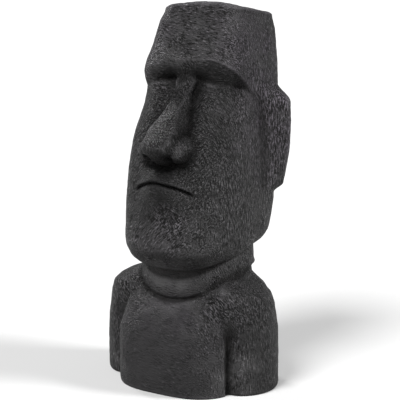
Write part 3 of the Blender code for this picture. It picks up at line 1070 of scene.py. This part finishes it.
class Graph:
    """The node tree of one material."""

    def __init__(self, name: str) -> None:
        """Start a material with a bare node tree.

        Args:
            name: The material's name.
        """
        self.material = bpy.data.materials.new(name)
        self.material.use_nodes = True
        self.tree = self.material.node_tree
        self.shader = self.tree.nodes["Principled BSDF"]

    def node(self, kind: str, settings: dict[str, Any], values: dict[str | int, Any]) -> bpy.types.Node:
        """Add a node.

        Args:
            kind: The node's type, without the word ShaderNode.
            settings: The node's own settings, which are set first.
            values: Numbers, colours or sockets for its inputs, by name or place.

        Returns:
            The new node.
        """
        node = self.tree.nodes.new("ShaderNode" + kind)
        for name, setting in settings.items():
            setattr(node, name, setting)
        for name, value in values.items():
            if isinstance(value, Sock):
                self.tree.links.new(value.socket, node.inputs[name])
            else:
                node.inputs[name].default_value = value
        return node

    def math(self, operation: str, *terms: "Sock | float", clamp: bool = False) -> Sock:
        """Add a Math node on the terms."""
        settings = {"operation": operation, "use_clamp": clamp}
        return Sock(self, self.node("Math", settings, dict(enumerate(terms))).outputs[0])

    def coordinates(self) -> Sock:
        """Return the piece's own coordinates."""
        return Sock(self, self.node("TexCoord", {}, {}).outputs["Object"])

    def attribute(self, name: str) -> Sock:
        """Return a number that is stored on the mesh."""
        return Sock(self, self.node("Attribute", {"attribute_name": name}, {}).outputs["Fac"])

    def mapped(self, vector: Sock, turn: Triple, scale: Triple) -> Sock:
        """Turn the coordinates and then scale them.

        Args:
            vector: The coordinates.
            turn: Degrees about X, Y and Z.
            scale: Factors along X, Y and Z.

        Returns:
            The new coordinates.
        """
        for name, value in (("Rotation", [math.radians(angle) for angle in turn]), ("Scale", scale)):
            vector = Sock(self, self.node("Mapping", {}, {"Vector": vector, name: value}).outputs[0])
        return vector

    def noise(self, vector: Sock, scale: float, detail: float, roughness: float) -> Sock:
        """Return a noise of about 0.5 on the coordinates."""
        values = {"Vector": vector, "Scale": scale, "Detail": detail, "Roughness": roughness}
        return Sock(self, self.node("TexNoise", {}, values).outputs[0])

    def span(self, value: Sock, low: float, high: float) -> Sock:
        """Stretch a value smoothly, and hold it between 0 and 1.

        Args:
            value: The value.
            low: What becomes 0.
            high: What becomes 1.

        Returns:
            The stretched value.
        """
        settings = {"interpolation_type": "SMOOTHSTEP"}
        values = {"Value": value, "From Min": low, "From Max": high}
        return Sock(self, self.node("MapRange", settings, values).outputs[0])

    def mixed(self, share: Sock, first: "Sock | Colour", second: Colour, way: str = "MIX") -> Sock:
        """Mix two colours by a share.

        Args:
            share: 0 for the first colour and 1 for the second.
            first: The first colour.
            second: The second colour.
            way: How the second colour is laid over the first.

        Returns:
            The mixed colour.
        """
        start = first if isinstance(first, Sock) else (*first, 1.0)
        values = {0: share, 6: start, 7: (*second, 1.0)}
        return Sock(self, self.node("Mix", {"data_type": "RGBA", "blend_type": way}, values).outputs[2])

    def scaled(self, colour: Sock, factor: Sock) -> Sock:
        """Return the colour, paler or darker by a factor."""
        values = {0: colour, "Scale": factor}
        return Sock(self, self.node("VectorMath", {"operation": "SCALE"}, values).outputs[0])

    def feed(self, name: str, value: Any) -> None:
        """Feed one input of the shader.

        Args:
            name: The input's name.
            value: A socket, a number or a colour with its alpha.
        """
        if isinstance(value, Sock):
            self.tree.links.new(value.socket, self.shader.inputs[name])
        else:
            self.shader.inputs[name].default_value = value


@dataclass(frozen=True)
class CastStone:
    """Dark cast stone, struck all over with a narrow tool, with painted shade in its creases, hollows and
    undersides and painted highlights on its edges.
    """

    name: str = "dark_cast_stone"
    # groove is the dark colour that all painted shade mixes towards, and ridge the pale colour of the painted
    # highlights; both also give the tool strokes their tone.
    groove: Colour = (0.0023, 0.0020, 0.0018)
    plain: Colour = (0.0315, 0.031, 0.0315)
    ridge: Colour = (0.124, 0.120, 0.125)
    violet: Colour = (1.02, 0.90, 1.08)
    stroke_width: float = 1.9
    stroke_length: float = 8.0
    stroke_grain: Pair = (1.5, 0.6)
    stroke_height: float = 8.0
    pit_size: float = 2.2
    pit_grain: Pair = (2.0, 0.65)
    pit_height: float = 3.0
    least_depth: float = 0.1
    swell: Triple = (55.0, 2.0, 0.5)
    swell_span: Pair = (0.35, 0.65)
    swell_heights: Pair = (0.6, 1.2)
    cloud: Triple = (16.0, 3.0, 0.55)
    cloud_span: Pair = (0.3, 0.7)
    high_span: Pair = (0.1, 0.9)
    groove_shade_span: Pair = (0.0, 0.6)
    edge_highlight_span: Pair = (0.2, 1.0)
    edge_highlight_share: float = 0.35
    crease_shade_span: Pair = (0.05, 1.0)
    hollow_shade_span: Pair = (0.1, 1.0)
    shade_and_mottle_shares: Triple = (0.5, 0.2, 0.1)
    underside_shade_share: float = 0.7
    bump: float = 0.0030
    roughness: Pair = (0.58, 0.34)
    shine: float = 0.18

    def strokes(self, graph: Graph, place: Sock, way: Stroke) -> Sock:
        """Make the strokes that run one way.

        Args:
            graph: The material's graph.
            place: The statue's own coordinates.
            way: The way of the strokes.

        Returns:
            The height of the strokes, weighted by their share at each place.
        """
        along = graph.mapped(place, way.value, (1.0, 1.0, self.stroke_width / self.stroke_length))
        lines = graph.noise(along, 1.0 / (self.stroke_width * MM), *self.stroke_grain)
        return (lines - 0.5) * graph.attribute(way.name.lower())

    def relief(self, graph: Graph, place: Sock) -> Sock:
        """Make the strokes and pits of the surface.

        Args:
            graph: The material's graph.
            place: The statue's own coordinates.

        Returns:
            Their height, above and below 0.
        """
        lines = sum((self.strokes(graph, place, way) for way in Stroke), 0.0)
        pits = graph.noise(place, 1.0 / (self.pit_size * MM), *self.pit_grain) - 0.5
        swell = graph.span(graph.noise(place, *self.swell), *self.swell_span)
        height = lines * self.stroke_height + pits * self.pit_height
        height = height * blend(self.least_depth, 1.0, graph.attribute("depth"))
        return height * blend(*self.swell_heights, swell)

    def make(self) -> bpy.types.Material:
        """Build the material.

        Returns:
            The finished material.
        """
        graph = Graph(self.name)
        place = graph.coordinates()
        relief = self.relief(graph, place)
        # The strokes are painted paler on their ridges and darker in their grooves: partly the tone of the
        # tool marks, partly painted light and painted shade that stand in for the shading of their relief.
        high = graph.span(relief, *self.high_span)
        shade = graph.mixed(high, self.plain, self.ridge)
        shade = graph.mixed(graph.span(0.0 - relief, *self.groove_shade_span), shade, self.groove)
        # Painted highlight: the sharp edges are painted paler, as if a rim light caught them.
        edge = graph.span(graph.attribute("edge"), *self.edge_highlight_span)
        shade = graph.mixed(self.edge_highlight_share * edge, shade, self.ridge)
        # Painted shade in the creases and the broad hollows, with a random mottle from the cloud noise on
        # top.
        darkening_masks = (
            graph.span(graph.attribute("crease"), *self.crease_shade_span),
            graph.span(graph.attribute("hollow"), *self.hollow_shade_span),
            graph.span(graph.noise(place, *self.cloud), *self.cloud_span),
        )
        shade_and_mottle = sum((share * wash for share, wash in zip(self.shade_and_mottle_shares, darkening_masks)), 0.0).clipped()
        shade = graph.mixed(shade_and_mottle, shade, self.groove)
        # Painted shade on the undersides.
        shade = graph.mixed(self.underside_shade_share * graph.attribute("painted_underside_shade"), shade, self.groove)
        shade = graph.mixed(graph.attribute("violet"), shade, self.violet, "MULTIPLY")
        # The patches' tone paints light and shade over the whole colour.
        graph.feed("Base Color", graph.scaled(shade, graph.attribute("tone")))
        graph.feed("Roughness", blend(*self.roughness, high))
        bump = graph.node("Bump", {}, {"Height": relief, "Strength": 1.0, "Distance": self.bump})
        graph.feed("Normal", Sock(graph, bump.outputs[0]))
        graph.feed("Specular IOR Level", self.shine)
        graph.feed("Metallic", 0.0)
        return graph.material


@dataclass(frozen=True)
class Lamp:
    """One soft lamp: the bearing and height it shines from, in degrees, how wide it looks and its strength.

    A bearing of 0 is straight before the statue, and 90 is on the statue's own left.
    """

    name: str
    bearing: float
    height: float
    spread: float
    strength: float


@dataclass
class Studio:
    """The plain floor, the soft light and the camera, with their sizes and places in metres."""

    floor_size: float = 60.0
    floor_colour: Colour = (0.50, 0.50, 0.50)
    floor_roughness: float = 0.9
    world_colour: Colour = (1.0, 1.0, 1.0)
    world_strength: float = 0.28
    lamps: tuple[Lamp, ...] = (
        Lamp("key", -14.0, 54.0, 26.0, 4.1),
        Lamp("side", 110.0, 34.0, 16.0, 4.0),
        Lamp("edge", -114.0, 30.0, 8.0, 1.3),
    )
    lamp_distance: float = 4.0
    camera_place: Triple = (1.0301, -1.6943, 0.7270)
    camera_aim: Triple = (0.00634, 0.02381, 0.2875)
    lens: float = 115.6
    sensor: float = 36.0
    far_end: float = 100.0

    @staticmethod
    def turn_to(item: bpy.types.Object, aim: Triple) -> None:
        """Turn a lamp or the camera so that it looks at a point."""
        way = Vector(aim) - item.location
        item.rotation_euler = way.to_track_quat("-Z", "Y").to_euler()

    def lay_floor(self) -> bpy.types.Object:
        """Lay the floor.

        Returns:
            The floor.
        """
        sheet = bmesh.new()
        bmesh.ops.create_grid(sheet, x_segments=2, y_segments=2, size=self.floor_size / 2.0)
        mesh = bpy.data.meshes.new("studio_floor")
        sheet.to_mesh(mesh)
        sheet.free()
        graph = Graph("studio_floor")
        graph.feed("Base Color", (*self.floor_colour, 1.0))
        graph.feed("Roughness", self.floor_roughness)
        graph.feed("Specular IOR Level", 0.0)
        mesh.materials.append(graph.material)
        floor = bpy.data.objects.new("studio_floor", mesh)
        bpy.context.scene.collection.objects.link(floor)
        return floor

    def hang_lamps(self) -> None:
        """Hang the lamps and set the pale surroundings."""
        for lamp in self.lamps:
            light = bpy.data.lights.new(lamp.name, "SUN")
            light.angle = math.radians(lamp.spread)
            light.energy = lamp.strength
            item = bpy.data.objects.new(lamp.name, light)
            bearing, height = math.radians(lamp.bearing), math.radians(lamp.height)
            away = math.cos(height)
            item.location = (away * math.sin(bearing), -away * math.cos(bearing), math.sin(height))
            item.location = item.location * self.lamp_distance
            self.turn_to(item, (0.0, 0.0, 0.0))
            bpy.context.scene.collection.objects.link(item)
        world = bpy.data.worlds.new("studio")
        world.use_nodes = True
        background = world.node_tree.nodes["Background"]
        background.inputs["Color"].default_value = (*self.world_colour, 1.0)
        background.inputs["Strength"].default_value = self.world_strength
        bpy.context.scene.world = world

    def set_camera(self) -> None:
        """Set up the camera, and show the colours plainly."""
        camera = bpy.data.cameras.new("camera")
        camera.sensor_width = self.sensor
        camera.lens = self.lens
        camera.clip_end = self.far_end
        item = bpy.data.objects.new("camera", camera)
        item.location = self.camera_place
        self.turn_to(item, self.camera_aim)
        bpy.context.scene.collection.objects.link(item)
        bpy.context.scene.camera = item
        bpy.context.scene.view_settings.view_transform = "Standard"


def main() -> None:
    """Load the frame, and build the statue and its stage."""
    logging.basicConfig(level=logging.INFO, format="%(message)s")
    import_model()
    statue = Statue().build()
    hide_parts(NODE)
    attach(statue, BODY)
    LOG.info("%s: %d faces", statue.name, len(statue.data.polygons))
    studio = Studio()
    studio.lay_floor()
    studio.hang_lamps()
    studio.set_camera()
    LOG.info("stage: floor, %d lamps and the camera", len(studio.lamps))


if __name__ == "__main__":
    main()
